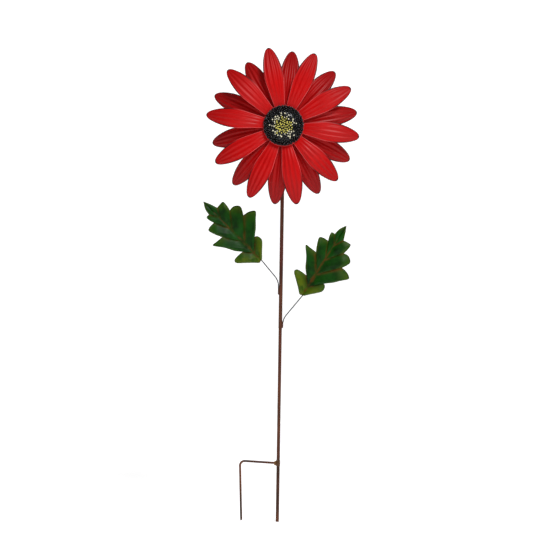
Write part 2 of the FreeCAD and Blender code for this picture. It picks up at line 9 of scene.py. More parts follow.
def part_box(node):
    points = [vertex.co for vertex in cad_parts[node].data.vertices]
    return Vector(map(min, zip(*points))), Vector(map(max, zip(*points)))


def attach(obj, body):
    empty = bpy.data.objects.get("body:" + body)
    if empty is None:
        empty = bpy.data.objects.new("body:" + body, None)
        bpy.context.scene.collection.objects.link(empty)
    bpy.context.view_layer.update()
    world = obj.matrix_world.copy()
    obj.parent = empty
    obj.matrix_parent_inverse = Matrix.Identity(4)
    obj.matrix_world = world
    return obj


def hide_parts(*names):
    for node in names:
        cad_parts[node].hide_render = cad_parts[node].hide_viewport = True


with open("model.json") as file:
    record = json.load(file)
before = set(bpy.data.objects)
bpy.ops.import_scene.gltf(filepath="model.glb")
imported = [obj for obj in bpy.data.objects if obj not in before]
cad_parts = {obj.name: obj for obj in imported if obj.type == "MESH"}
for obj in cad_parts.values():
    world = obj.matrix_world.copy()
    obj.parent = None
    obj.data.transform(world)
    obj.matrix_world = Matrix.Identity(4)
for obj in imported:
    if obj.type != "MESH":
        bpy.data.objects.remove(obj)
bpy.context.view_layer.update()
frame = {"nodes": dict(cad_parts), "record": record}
random.seed(7)

# ------------------------------------------------------------------ places, worked out from the frame

MM = 0.001


def middle(node):
    low, high = (Vector(corner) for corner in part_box(node))
    return (low + high) / 2


HUB = middle("hub_sleeve")
HUB_Z = HUB.z
FRONT_FACE_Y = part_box("front_hub_plate")[0][1]
BACK_FACE_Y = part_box("back_hub_plate")[0][1]
BASE_LOW, BASE_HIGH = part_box("dome_base")
BASE_MARGIN = 3.0 * MM
DOME_RIM_Y = BASE_LOW[1]
DOME_RADIUS = (BASE_HIGH[2] - BASE_LOW[2]) / 2 - BASE_MARGIN
DOME_HEIGHT = 27.0 * MM
PETAL_COUNT = 10

# ------------------------------------------------------------------ small helpers


def smooth_step(low, high, value):
    f = min(max((value - low) / (high - low), 0.0), 1.0)
    return f * f * (3 - 2 * f)


TABLE_SLACK = 1e-9


def between(table, place):
    """Smooth value of a (place, value) table."""
    low = max(index for index, row in enumerate(table[:-1]) if row[0] <= place + TABLE_SLACK)
    x0, y0 = table[low]
    x1, y1 = table[low + 1]

    def slope(index):
        before = table[max(index - 1, 0)]
        after = table[min(index + 1, len(table) - 1)]
        return (after[1] - before[1]) / (after[0] - before[0])

    step = x1 - x0
    f = (place - x0) / step
    hermite = (2 * f**3 - 3 * f**2 + 1) * y0 + (f**3 - 2 * f**2 + f) * step * slope(low)
    return hermite + (3 * f**2 - 2 * f**3) * y1 + (f**3 - f**2) * step * slope(low + 1)


def new_object(name, verts, faces, uvs=None, material=None):
    """Smooth-shaded mesh object from points and faces; uvs holds one pair per point."""
    mesh = bpy.data.meshes.new(name)
    mesh.from_pydata(verts, [], faces)
    mesh.update()
    if uvs:
        layer = mesh.uv_layers.new(name="UVMap")
        for loop in mesh.loops:
            layer.data[loop.index].uv = uvs[loop.vertex_index]
    mesh.polygons.foreach_set("use_smooth", [True] * len(mesh.polygons))
    obj = bpy.data.objects.new(name, mesh)
    bpy.context.scene.collection.objects.link(obj)
    if material:
        obj.data.materials.append(material)
    return obj


def closed_sheet(front, back, uv_rows):
    """Points, faces and UVs of the closed skin round two matching point grids."""
    rows = len(front)
    columns = len(front[0])
    verts = [p for row in front for p in row] + [p for row in back for p in row]
    uvs = [uv for row in uv_rows for uv in row] * 2
    offset = rows * columns
    faces = []
    for i in range(rows - 1):
        for j in range(columns - 1):
            a = i * columns + j
            faces.append((a, a + columns, a + columns + 1, a + 1))
            b = a + offset
            faces.append((b, b + 1, b + columns + 1, b + columns))
    for i in range(rows - 1):
        for j, flip in ((0, False), (columns - 1, True)):
            a = i * columns + j
            quad = (a, a + offset, a + offset + columns, a + columns)
            faces.append(tuple(reversed(quad)) if flip else quad)
    for j in range(columns - 1):
        for i, flip in ((0, True), (rows - 1, False)):
            a = i * columns + j
            quad = (a, a + offset, a + offset + 1, a + 1)
            faces.append(tuple(reversed(quad)) if flip else quad)
    return verts, faces, uvs


# ------------------------------------------------------------------ materials


class Shader:
    """A Principled material with short ways to add the nodes that drive it."""

    def __init__(self, name, **sockets):
        self.material = bpy.data.materials.new(name)
        self.material.use_nodes = True
        self.nodes = self.material.node_tree.nodes
        self.links = self.material.node_tree.links
        self.surface = self.nodes["Principled BSDF"]
        for key, value in sockets.items():
            self.surface.inputs[key.replace("_", " ")].default_value = value
        self.place = self.node("ShaderNodeTexCoord").outputs["Object"]

    def node(self, kind, **settings):
        made = self.nodes.new(kind)
        for key, value in settings.items():
            setattr(made, key, value)
        return made

    def feed(self, socket, value):
        if isinstance(value, bpy.types.NodeSocket):
            self.links.new(value, socket)
        else:
            socket.default_value = value

    def noise(self, scale, detail=3.0, roughness=0.55, stretch=None):
        made = self.node("ShaderNodeTexNoise")
        made.inputs["Scale"].default_value = scale
        made.inputs["Detail"].default_value = detail
        made.inputs["Roughness"].default_value = roughness
        place = self.place
        if stretch:
            mapping = self.node("ShaderNodeMapping")
            mapping.inputs["Scale"].default_value = stretch
            self.links.new(place, mapping.inputs["Vector"])
            place = mapping.outputs["Vector"]
        self.links.new(place, made.inputs["Vector"])
        return made.outputs["Fac"]

    def math(self, operation, a, b=0.0):
        made = self.node("ShaderNodeMath", operation=operation)
        self.feed(made.inputs[0], a)
        self.feed(made.inputs[1], b)
        return made.outputs[0]

    def ramp(self, value, low, high, to_low=0.0, to_high=1.0):
        made = self.node("ShaderNodeMapRange", interpolation_type="SMOOTHSTEP")
        self.feed(made.inputs["Value"], value)
        made.inputs["From Min"].default_value = low
        made.inputs["From Max"].default_value = high
        made.inputs["To Min"].default_value = to_low
        made.inputs["To Max"].default_value = to_high
        return made.outputs["Result"]

    def mix(self, factor, a, b):
        made = self.node("ShaderNodeMix", data_type="RGBA")
        self.feed(made.inputs["Factor"], factor)
        self.feed(made.inputs["A"], a)
        self.feed(made.inputs["B"], b)
        return made.outputs["Result"]

    def uv(self):
        made = self.node("ShaderNodeUVMap", uv_map="UVMap")
        split = self.node("ShaderNodeSeparateXYZ")
        self.links.new(made.outputs["UV"], split.inputs["Vector"])
        return split.outputs["X"], split.outputs["Y"]

    def colour(self, value):
        self.feed(self.surface.inputs["Base Color"], value)

    def roughness(self, value):
        self.feed(self.surface.inputs["Roughness"], value)

    def bump(self, height, strength, distance):
        made = self.node("ShaderNodeBump")
        made.inputs["Strength"].default_value = strength
        made.inputs["Distance"].default_value = distance
        self.links.new(height, made.inputs["Height"])
        self.links.new(made.outputs["Normal"], self.surface.inputs["Normal"])


def srgb(red, green, blue):
    """Linear colour from 0 to 255 display values."""
    def linear(value):
        value /= 255.0
        return value / 12.92 if value <= 0.04045 else ((value + 0.055) / 1.055) ** 2.4

    return (linear(red), linear(green), linear(blue), 1.0)


# In these settings a fade is the two values that it runs between, then what it gives at each if not 0 and 1.
# A noise is its scale, its detail and, where given, its roughness and its stretch along X, Y and Z.
# A bump is its strength and its height in metres.

PETAL_PAINT = {
    "specular": 0.15,
    "cloud": (38.0, 4.0, 0.6),
    "mottle": (210.0, 3.0, 0.6),
    "deeper_along": (0.45, 1.0, 0.0, 0.85),
    "deeper_cloud": (0.35, 0.7, 0.0, 0.3),
    # Where the dark band of painted shade runs along the edge and round the tip, and how much of the colour
    # it covers.
    "edge_shade_across": (0.42, 0.47),
    "edge_shade_along": (0.5, 0.75, 0.2, 1.0),
    "edge_shade_tip": (0.972, 0.988),
    "edge_shade_cover": 0.94,
    # Where the pale painted highlight runs along the edge: across the petal, then along it.
    "highlight_across": (0.455, 0.485),
    "highlight_along": (0.4, 0.72, 0.7, 0.0),
    "roughness": (0.2, 0.8, 0.34, 0.44),
    "bump": (0.05, 0.0003),
}


def petal_material(name, body, deep, rim):
    """Red enamel on steel, deeper toward the tip, with a dark band of painted shade along the edge there and
    a pale painted highlight along the edge nearer the root.
    """
    look = PETAL_PAINT
    s = Shader(name, Specular_IOR_Level=look["specular"])
    along, across = s.uv()
    side = s.math("ABSOLUTE", s.math("SUBTRACT", across, 0.5))
    # Dark band of painted shade along the edge toward the tip and round the tip itself.
    edge = s.math("MULTIPLY", s.ramp(side, *look["edge_shade_across"]), s.ramp(along, *look["edge_shade_along"]))
    border = s.math("MAXIMUM", edge, s.ramp(along, *look["edge_shade_tip"]))
    cloud = s.noise(*look["cloud"])
    mottle = s.noise(*look["mottle"])
    shade = s.math("MAXIMUM", s.ramp(along, *look["deeper_along"]), s.ramp(cloud, *look["deeper_cloud"]))
    tint = s.mix(shade, body, deep)
    tint = s.mix(s.math("MULTIPLY", border, look["edge_shade_cover"]), tint, rim)
    # Pale pink painted highlight along the edge nearer the root, standing in for light caught by the raised
    # edge.
    edge_highlight = s.math("MULTIPLY", s.ramp(side, *look["highlight_across"]), s.ramp(along, *look["highlight_along"]))
    s.colour(s.mix(edge_highlight, tint, srgb(240, 92, 94)))
    s.roughness(s.ramp(mottle, *look["roughness"]))
    s.bump(mottle, *look["bump"])
    return s.material


LEAF_PAINT = {
    "specular": 0.1,
    "cloud": (32.0, 4.0, 0.6),
    "fine": (260.0, 3.0, 0.6),
    "darker_cloud": (0.35, 0.68),
    "olive_lobes": (0.7, 1.05, 1.0, 0.0),
    "olive_cloud": (0.35, 0.6, 0.15, 0.8),
    "tip_out": (0.62, 1.0),
    "tip_cloud": (0.3, 0.7, 0.2, 0.9),
    "furrow": (0.37, 0.5),
    "spine": (0.0, 0.12, 1.0, 0.0),
    "rust_noise": (48.0, 3.0),
    "rust": (0.35, 0.62, 0.1, 0.8),
    "border": (0.955, 0.995),
    "border_cover": 0.7,
    "roughness": (0.2, 0.8, 0.34, 0.5),
    "bump": (0.18, 0.0008),
}


def leaf_material():
    """Dark green enamel, olive on the base lobes and tips, with rust-brown furrows.

    UV x counts the lobes from the base and runs through each of them; UV y runs from the midrib out.
    """
    look = LEAF_PAINT
    s = Shader("leaf_green", Specular_IOR_Level=look["specular"])
    order, out = s.uv()
    lobe = s.math("FRACT", order)
    cloud = s.noise(*look["cloud"])
    fine = s.noise(*look["fine"])
    base = s.mix(s.ramp(cloud, *look["darker_cloud"]), srgb(14, 63, 5), srgb(7, 38, 2))
    olive = s.math("MULTIPLY", s.ramp(order, *look["olive_lobes"]), s.ramp(cloud, *look["olive_cloud"]))
    base = s.mix(olive, base, srgb(84, 100, 8))
    tip = s.math("MULTIPLY", s.ramp(out, *look["tip_out"]), s.ramp(cloud, *look["tip_cloud"]))
    base = s.mix(tip, base, srgb(66, 88, 20))
    furrow = s.ramp(s.math("ABSOLUTE", s.math("SUBTRACT", lobe, 0.5)), *look["furrow"])
    rust = s.math("MAXIMUM", furrow, s.ramp(out, *look["spine"]))
    rust = s.math("MULTIPLY", rust, s.ramp(s.noise(*look["rust_noise"]), *look["rust"]))
    base = s.mix(rust, base, srgb(84, 50, 12))
    border = s.math("MULTIPLY", s.ramp(out, *look["border"]), look["border_cover"])
    s.colour(s.mix(border, base, srgb(20, 24, 10)))
    s.roughness(s.ramp(fine, *look["roughness"]))
    s.bump(fine, *look["bump"])
    return s.material


STEM_PAINT = {
    "specular": 0.25,
    "patches": (60.0, 4.0, 0.6, (1.0, 1.0, 0.18)),
    "patchy": (0.36, 0.66),
    "speck": (520.0, 3.0, 0.65),
    "speckled": (0.55, 0.75, 0.0, 0.45),
    "red_noise": (9.0, 2.0, 0.55, (1.0, 1.0, 0.6)),
    "reddish": (0.45, 0.62, 0.0, 0.7),
    "roughness": (0.25, 0.75, 0.36, 0.58),
    "bump": (0.25, 0.0004),
}


def stem_material(name, light, dark, red):
    """Bronze-brown paint, mottled and streaked along the rod."""
    look = STEM_PAINT
    s = Shader(name, Specular_IOR_Level=look["specular"])
    speck = s.noise(*look["speck"])
    tint = s.mix(s.ramp(s.noise(*look["patches"]), *look["patchy"]), dark, light)
    tint = s.mix(s.ramp(s.noise(*look["red_noise"]), *look["reddish"]), tint, red)
    s.colour(s.mix(s.ramp(speck, *look["speckled"]), tint, light))
    s.roughness(s.ramp(speck, *look["roughness"]))
    s.bump(speck, *look["bump"])
    return s.material


METAL = {
    "grain": (300.0, 4.0, 0.6, (1.0, 0.15, 1.0)),
    "grain_dark": (0.3, 0.7),
    "dark_share": 0.72,
    "smoother": 0.06,
    "rougher": 0.1,
    "bump": (0.1, 0.0003),
}


def metal_material(name, colour, roughness, metallic=1.0):
    """Bare or thinly painted metal with a fine grain."""
    look = METAL
    s = Shader(name, Metallic=metallic)
    grain = s.noise(*look["grain"])
    dark = tuple(look["dark_share"] * c for c in colour[:3]) + (1.0,)
    s.colour(s.mix(s.ramp(grain, *look["grain_dark"]), colour, dark))
    s.roughness(s.ramp(grain, 0.2, 0.8, roughness - look["smoother"], roughness + look["rougher"]))
    s.bump(grain, *look["bump"])
    return s.material


SEED_PAINT = {
    "specular": 0.3,
    "patch": (420.0, 2.0),
    "body": (90.0, 2.0),
    "body_tint": (0.4, 0.6),
    "tip_height": (0.5, 0.85),
    "roughness": (0.2, 0.8, 0.16, 0.3),
}


def seed_material(name, tip_colour, patches):
    """Black glossy seed; UV y runs from its foot to its tip, where a colour is laid on in patches: gold and
    cream paint on those seeds, grey painted highlights on the black ones.
    """
    look = SEED_PAINT
    s = Shader(name, Specular_IOR_Level=look["specular"])
    _, height = s.uv()
    patch = s.noise(*look["patch"])
    # Tip colour in patches: gold and cream paint on those seeds, grey painted highlights on the black ones.
    tip_paint_and_highlight = s.math("MULTIPLY", s.ramp(height, *look["tip_height"]), s.ramp(patch, *patches))
    dark = s.mix(s.ramp(s.noise(*look["body"]), *look["body_tint"]), srgb(3, 8, 6), srgb(10, 5, 11))
    s.colour(s.mix(tip_paint_and_highlight, dark, tip_colour))
    s.roughness(s.ramp(patch, *look["roughness"]))
    return s.material


# The last colour of each petal paint is the dark painted shade along its edge.
front_red = petal_material("petal_red", srgb(184, 5, 6), srgb(158, 3, 4), srgb(44, 3, 8))
# Darker copy of the petal red: painted shade for the back petals in the shadow of the front ones, also used
# on the hub plates and tacks.
shaded_red = petal_material("petal_red_painted_shade", srgb(166, 3, 4), srgb(140, 2, 3), srgb(40, 3, 8))
leaf_green = leaf_material()
stem_paint = stem_material("stem_bronze", srgb(98, 55, 34), srgb(50, 26, 14), srgb(78, 26, 17))
wire_paint = metal_material("dark_wire", srgb(44, 47, 51), 0.42, metallic=0.15)
zinc = metal_material("zinc_steel", srgb(176, 178, 180), 0.34)
bronze = metal_material("bush_bronze", srgb(186, 140, 78), 0.32)
weld_paint = stem_material("weld_brown", srgb(140, 98, 52), srgb(74, 46, 24), srgb(88, 44, 22))
seed_gold = seed_material("seed_gold", srgb(220, 210, 104), (0.36, 0.52, 0.3, 1.0))
seed_cream = seed_material("seed_cream", srgb(240, 234, 202), (0.36, 0.52, 0.35, 1.0))
# The grey tips of the black seeds are painted highlights, in patches about a seed wide.
seed_black = seed_material("seed_black", srgb(128, 130, 140), (0.57, 0.7, 0.0, 1.0))

# ------------------------------------------------------------------ petals

# Lengths in millimetres and angles in degrees. "root_bend" is where the petal bends up, in millimetres from
# the pad's end; "formed" and "pitched" are shares of its length, and "rolled" of its half width.
PETAL = {
    "root": 15.0,
    "pad": 37.0,
    "length": 151.5,
    "thick": 0.8,
    "rise": 15.0,
    "turn": 40.0,
    "pitch": 7.0,
    "crown": 3.6,
    "rib": 1.1,
    "rib_pairs": 4,
    "tip_radius": 5.6,
    "tip_flat": 0.5,
    "bend_back": 10.5,
    "edge_roll": 2.4,
    "root_bend": (-6.0, 12.0),
    "formed": (0.13, 0.45),
    "pitched": (0.13, 0.42),
    "rolled": (0.84, 1.08),
}
PETAL_OUTLINE = [
    (15.0, 4.2),
    (28.0, 7.6),
    (38.0, 10.2),
    (50.0, 12.8),
    (78.0, 17.8),
    (106.0, 22.4),
    (132.0, 24.2),
    (152.0, 22.8),
    (168.0, 19.0),
    (188.0, 13.0),
]
FULL_HALF_WIDTH = 22.0
TIP_BLEND = 8
ROW_CROWDING = 1.6
BEND_JITTER = 0.7
FRONT_FIRST_ANGLE = 100.0
BACK_FIRST_ANGLE = 82.0
MIDLINE_STEPS = 400
PETAL_ROWS = 110
PETAL_COLUMNS = 48


def petal_midline(bend, spare):
    """Places (outwards, forward, slope) along a petal's middle, in millimetres and radians."""
    flat_len = PETAL["pad"] - PETAL["root"]
    step = (flat_len + PETAL["length"] + spare) / MIDLINE_STEPS
    rise = math.radians(PETAL["rise"] - bend)
    turn = math.radians(PETAL["turn"])
    out = PETAL["root"]
    lift = 0.0
    line = [(out, lift, 0.0)]
    before, after = PETAL["root_bend"]
    for index in range(MIDLINE_STEPS):
        distance = (index + 0.5) * step
        arch = rise - turn * max(distance - flat_len, 0.0) / PETAL["length"]
        slope = arch * smooth_step(flat_len + before, flat_len + after, distance)
        out += step * math.cos(slope)
        lift += step * math.sin(slope)
        line.append((out, lift, slope))
    return line


def petal_half_width(along):
    """Half the width at a share of the petal's length: the outline, softly capped by a round tip."""
    root = PETAL["root"]
    end = PETAL_OUTLINE[-1][0]
    place = root + along * (end - root)
    body = between(PETAL_OUTLINE, place)
    tip = math.sqrt(2 * PETAL["tip_radius"] * (end - place)) + PETAL["tip_flat"]
    return (body**-TIP_BLEND + tip**-TIP_BLEND) ** (-1 / TIP_BLEND)


def petal_point(along, across, midline):
    """Point on the back of a petal: outwards, across and forward."""
    half = petal_half_width(along)
    place = along * MIDLINE_STEPS
    low = min(int(place), MIDLINE_STEPS - 1)
    out, lift, slope = (a + (b - a) * (place - low) for a, b in zip(midline[low], midline[low + 1]))
    grown = smooth_step(*PETAL["formed"], along)
    narrow = min(half / FULL_HALF_WIDTH, 1.0)
    crown = PETAL["crown"] * grown * narrow * (0.5 - across**2)
    ribs = PETAL["rib"] * grown * narrow * math.cos(PETAL["rib_pairs"] * math.pi * across)
    pitch = math.radians(PETAL["pitch"]) * smooth_step(*PETAL["pitched"], along)
    rolled = PETAL["edge_roll"] * grown * narrow * smooth_step(*PETAL["rolled"], abs(across))
    height = crown + ribs - rolled
    side = across * half
    forward = lift + height * math.cos(slope) + side * math.sin(pitch)
    return Vector((out - height * math.sin(slope), side * math.cos(pitch), forward))


def petal_mesh(bend, spare):
    """Skin of one petal, with its rows closer together toward the tip; UV x runs along, UV y across."""
    midline = petal_midline(bend, spare)
    front, back, uv_rows = [], [], []
    for i in range(PETAL_ROWS + 1):
        along = 1.0 - (1.0 - i / PETAL_ROWS) ** ROW_CROWDING
        row = []
        for j in range(PETAL_COLUMNS + 1):
            across = 2 * j / PETAL_COLUMNS - 1
            row.append(petal_point(along, across, midline))
        front.append([p + Vector((0, 0, PETAL["thick"])) for p in row])
        back.append(row)
        uv_rows.append([(along, j / PETAL_COLUMNS) for j in range(PETAL_COLUMNS + 1)])
    return closed_sheet(front, back, uv_rows)


def turn_flower(angle):
    """Turns a shape with X outwards and Z forward to an angle counter-clockwise seen from the front."""
    return Matrix.Rotation(-angle, 4, "Y") @ Matrix.Rotation(math.pi / 2, 4, "X")


# The petals were cut and bent by hand, so each has its own small turn, in degrees, and spare length, in mm.
FRONT_SWAY = [(1.8, 6.0), (3.4, 4.5), (2.5, -0.5), (0.9, -3.5), (-0.2, -3.5)]
FRONT_SWAY += [(0.6, 3.5), (1.0, 3.5), (0.9, -1.5), (0.2, 0.5), (-0.4, 4.5)]
BACK_SWAY = [(2.0, 5.5), (2.2, 2.5), (2.7, 0.5), (0.8, -3.0), (1.1, -1.0)]
BACK_SWAY += [(2.5, 5.5), (3.5, 3.0), (3.3, -6.5), (1.4, 3.5), (2.1, -1.0)]


def make_petals():
    layers = (
        ("front_petal", 0.0, FRONT_FACE_Y, FRONT_FIRST_ANGLE, front_red, FRONT_SWAY),
        ("back_petal", PETAL["bend_back"], BACK_FACE_Y, BACK_FIRST_ANGLE, shaded_red, BACK_SWAY),
    )
    for name, bend, face_y, first, paint, sways in layers:
        for index, (sway, spare) in enumerate(sways):
            verts, faces, uvs = petal_mesh(bend + random.uniform(-BEND_JITTER, BEND_JITTER), spare)
            angle = math.radians(first + sway - 360.0 * index / PETAL_COUNT)
            place = Matrix.Translation((0, face_y, HUB_Z)) @ turn_flower(angle)
            points = [place @ (p * MM) for p in verts]
            label = "%s_%02d" % (name, index + 1)
            petal = new_object(label + "_skin", points, faces, uvs, paint)
            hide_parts(label)
            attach(petal, "flower")


make_petals()

# ------------------------------------------------------------------ seed dome

# Seed widths, SEED_SINK and GOLD_SPREAD are in millimetres.
SHELL_RADIUS = DOME_RADIUS - 2.2 * MM
SHELL_HEIGHT = DOME_HEIGHT - 5.4 * MM
SHELL_FULLNESS = 0.85
SHELL_STEPS = 24
SHELL_TOP = 0.995
SEED_LENGTH = 5.6 * MM
SEED_LENGTHS = (0.85, 1.1)
SEED_WIDTHS = (1.7, 2.3)
SEED_COUNT = 350
SEED_WOBBLE = 0.34
SEED_SINK = 0.8
SEED_SIDES = 8
SEED_PROFILE = ((0.0, 0.86), (0.3, 1.0), (0.62, 0.98), (0.82, 0.78), (0.95, 0.42))
RIM_SEEDS = 38
RIM_SHARE = 0.02
RIM_JITTER = 0.15
RIM_LENGTH = 1.1
RIM_WIDTHS = (1.7, 2.1)
GOLD_RADIUS = 18.5 * MM
CREAM_RADIUS = 34.0 * MM
CREAM_CHANCE = 0.75
GOLD_DROP = 3.5 * MM
GOLD_SPREAD = 2.8
AREA_STEPS = 400
TURNED_SIDES = 96
SHELL_UV = (0.5, 0.0)
# This UV puts the whole disc partly into the petal paint's pale painted highlight and its dark painted edge
# shade.
BASE_SHADE_AND_HIGHLIGHT_UV = (0.3, 0.966)


def dome_place(share):
    """Radius, height and outward normal of the shell, from its rim, share 0, to its top, share 1."""
    turn = math.pi / 2 * share
    radius = SHELL_RADIUS * math.cos(turn) ** SHELL_FULLNESS
    height = SHELL_HEIGHT * math.sin(turn)
    normal = Vector((math.cos(turn) / SHELL_RADIUS, math.sin(turn) / SHELL_HEIGHT)).normalized()
    return radius, height, normal


def add_seed(group, foot, up, length, width):
    """Adds one stubby seed with a rounded tip to a group's points, faces and UVs."""
    points, faces, uvs = group
    sides = SEED_SIDES
    side = up.orthogonal().normalized()
    other = up.cross(side)
    start = len(points)
    for height, wide in SEED_PROFILE:
        for k in range(sides):
            turn = math.tau * k / sides
            radial = side * math.cos(turn) + other * math.sin(turn)
            points.append(foot + up * (height * length) + radial * (wide * width))
            uvs.append((k / sides, height))
    points.append(foot + up * length)
    uvs.append((0.5, 1.0))
    for ring in range(len(SEED_PROFILE) - 1):
        for k in range(sides):
            a = start + ring * sides + k
            b = start + ring * sides + (k + 1) % sides
            faces.append((a, b, b + sides, a + sides))
    last = start + (len(SEED_PROFILE) - 1) * sides
    for k in range(sides):
        faces.append((last + k, last + (k + 1) % sides, len(points) - 1))
    faces.append(tuple(start + k for k in reversed(range(sides))))


def turned(name, profile, material, uv):
    """Surface turned about the flower's axis from (radius, forward of the dome's rim) points, with one UV."""
    sides = TURNED_SIDES
    verts = []
    faces = []
    for radius, forward in profile:
        for k in range(sides):
            turn = math.tau * k / sides
            place = (radius * math.cos(turn), DOME_RIM_Y - forward, HUB_Z + radius * math.sin(turn))
            verts.append(Vector(place))
    count = len(profile)
    for i in range(count):
        following = (i + 1) % count
        for k in range(sides):
            right = (k + 1) % sides
            near, far = i * sides, following * sides
            faces.append((near + k, near + right, far + right, far + k))
    return new_object(name, verts, faces, [uv] * len(verts), material)


def seed_spots():
    """Shares of the dome for seeds spread evenly over its area, from the top down."""
    steps = AREA_STEPS
    area = [0.0]
    before = dome_place(1.0)
    for k in range(1, steps + 1):
        after = dome_place(1.0 - k / steps)
        slant = math.hypot(after[0] - before[0], after[1] - before[1])
        area.append(area[-1] + slant * (after[0] + before[0]) / 2)
        before = after
    for index in range(SEED_COUNT):
        wanted = area[-1] * (index + 0.5) / SEED_COUNT
        k = next(i for i, value in enumerate(area) if value >= wanted)
        yield 1.0 - (k - (area[k] - wanted) / (area[k] - area[k - 1])) / steps


def make_dome():
    """Dark shell crowded with seeds in a sunflower spiral; the middle ones are tipped with gold and cream
    paint, the black ones with grey painted highlights.
    """
    shares = [k / SHELL_STEPS for k in range(SHELL_STEPS)] + [SHELL_TOP]
    outside = [dome_place(share)[:2] for share in shares]
    inside = [(radius * 0.97 - 0.0005, height * 0.95) for radius, height in reversed(outside)]
    inside = [(max(radius, 0.0001), height) for radius, height in inside]
    shell = turned("seed_dome_shell", outside + inside, seed_black, SHELL_UV)
    groups = {material.name: ([], [], []) for material in (seed_gold, seed_cream, seed_black)}
    golden = math.pi * (3 - math.sqrt(5))

    def plant(share, turn, length, width, patch):
        radius, height, normal = dome_place(share)
        outward = Vector((math.cos(turn), 0, math.sin(turn)))
        wobble = Vector([random.uniform(-1, 1) for _ in range(3)]) * SEED_WOBBLE
        up = (outward * normal.x + Vector((0, -normal.y, 0)) + wobble).normalized()
        foot = Vector((0, DOME_RIM_Y - height, HUB_Z)) + outward * radius - up * SEED_SINK * MM
        if patch < GOLD_RADIUS:
            name = seed_gold.name
        elif random.random() < CREAM_CHANCE * (CREAM_RADIUS - patch) / (CREAM_RADIUS - GOLD_RADIUS):
            name = seed_cream.name
        else:
            name = seed_black.name
        add_seed(groups[name], foot, up, length, width)

    for index, share in enumerate(seed_spots()):
        out = dome_place(share)[0]
        turn = index * golden
        patch = math.hypot(out * math.cos(turn), out * math.sin(turn) + GOLD_DROP)
        patch += random.gauss(0, GOLD_SPREAD) * MM
        length = SEED_LENGTH * random.uniform(*SEED_LENGTHS)
        plant(share, turn, length, random.uniform(*SEED_WIDTHS) * MM, patch)
    for index in range(RIM_SEEDS):
        turn = math.tau * (index + random.uniform(-RIM_JITTER, RIM_JITTER)) / RIM_SEEDS
        width = random.uniform(*RIM_WIDTHS) * MM
        plant(RIM_SHARE, turn, SEED_LENGTH * RIM_LENGTH, width, DOME_RADIUS)
    pieces = [shell]
    for material in (seed_gold, seed_cream, seed_black):
        points, faces, uvs = groups[material.name]
        pieces.append(new_object("seeds_" + material.name, points, faces, uvs, material))
    for piece in pieces:
        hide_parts("seed_dome")
        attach(piece, "flower")


def make_dome_base():
    """Red disc under the dome with a rolled rim."""
    rim = DOME_RADIUS + BASE_MARGIN
    bead = 1.3 * MM
    thick = 1.4 * MM
    hole = 20.0 * MM
    steps = 8
    profile = [(hole, -thick), (hole, 0.0), (rim - 2 * bead, 0.0)]
    for k in range(steps + 1):
        turn = math.pi * (1 - k / steps)
        profile.append((rim - bead + bead * math.cos(turn), bead * math.sin(turn)))
    profile.append((rim, -thick))
    # Through its UV the disc takes part of the petal paint's painted highlight and painted edge shade.
    disc = turned("dome_base_disc", profile, front_red, BASE_SHADE_AND_HIGHLIGHT_UV)
    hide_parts("dome_base")
    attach(disc, "flower")


make_dome()
make_dome_base()

# ------------------------------------------------------------------ leaves

# The leaf's edge, one list per lobe, with the place on the midrib that the lobe fans out from.
# Millimetres: the first number runs along the midrib, the second is positive on its left-hand side.
LEFT_LOBES = [
    (9, [(0, 3), (-1, 8), (10, 19), (23, 32.5), (35, 45), (41, 47), (45.5, 43.5), (46.8, 34), (45.6, 17.5)]),
    (38, [(45.6, 17.5), (60, 29), (82, 40.5), (105, 56), (105.5, 44), (104, 27)]),
    (84, [(104, 27), (121, 34.5), (137, 38.3), (141.5, 30), (141.7, 16.3)]),
    (124, [(141.7, 16.3), (152, 19.6), (162.5, 19.8), (163.7, 11.3)]),
    (158, [(163.7, 11.3), (179, 7.8), (195, -2)]),
]
RIGHT_LOBES = [
    (9, [(0, 3), (1, -3), (13, -15.5), (27, -30.5), (34, -35), (42, -35), (48, -32), (50, -27.5)]),
    (36, [(50, -27.5), (62, -44), (76, -58), (90, -72), (98.5, -65), (103, -54), (104.2, -45.2)]),
    (76, [(104.2, -45.2), (117, -53), (126, -54.5), (134, -47), (136.5, -39), (135.5, -31)]),
    (118, [(135.5, -31), (147, -34), (160.5, -34.3), (162, -24.5), (161.2, -14.6)]),
    (156, [(161.2, -14.6), (179, -8.8), (195, -2)]),
]
LEAF_LENGTH = 195.0
LEAF_GROWTH = 1.025
# Leaf sizes and places are in millimetres, apart from the fold's slope, the powers and the shares.
LEAF_ANGLES = {"left": 136.2, "right": 59.3}
LEAF_BASES = {"left": (-47.8, 630.4), "right": (52.6, 546.5)}
LEAF_GAP = 0.2 * MM
LEAF = {
    "thick": 1.0,
    "fold": 0.10,
    "fold_round": 6.0,
    "droop": 7.0,
    "puff": 5.6,
    "hump_power": 0.75,
    "furrow_depth": 1.6,
    "rise_out": (0.02, 0.4),
    "fall_out": (0.72, 1.0),
    "fall_share": 0.75,
    "last_lobe": 0.55,
    "midrib_sag": 2.0,
    "midrib_lift": 1.0,
}
LEAF_STEPS_OUT = 34
EDGE_STEP = 1.6


def curve_through(points, step):
    """Even points on a smooth curve through the given ones."""
    fine = []
    for k in range(len(points) - 1):
        p0 = Vector(points[max(k - 1, 0)])
        p1 = Vector(points[k])
        p2 = Vector(points[k + 1])
        p3 = Vector(points[min(k + 2, len(points) - 1)])
        pieces = max(int((p2 - p1).length / step), 2)
        for q in range(pieces):
            f = q / pieces
            square = (2 * p0 - 5 * p1 + 4 * p2 - p3) * f**2
            cube = (3 * p1 - p0 - 3 * p2 + p3) * f**3
            fine.append(0.5 * (2 * p1 + (p2 - p0) * f + square + cube))
    fine.append(Vector(points[-1]))
    return fine


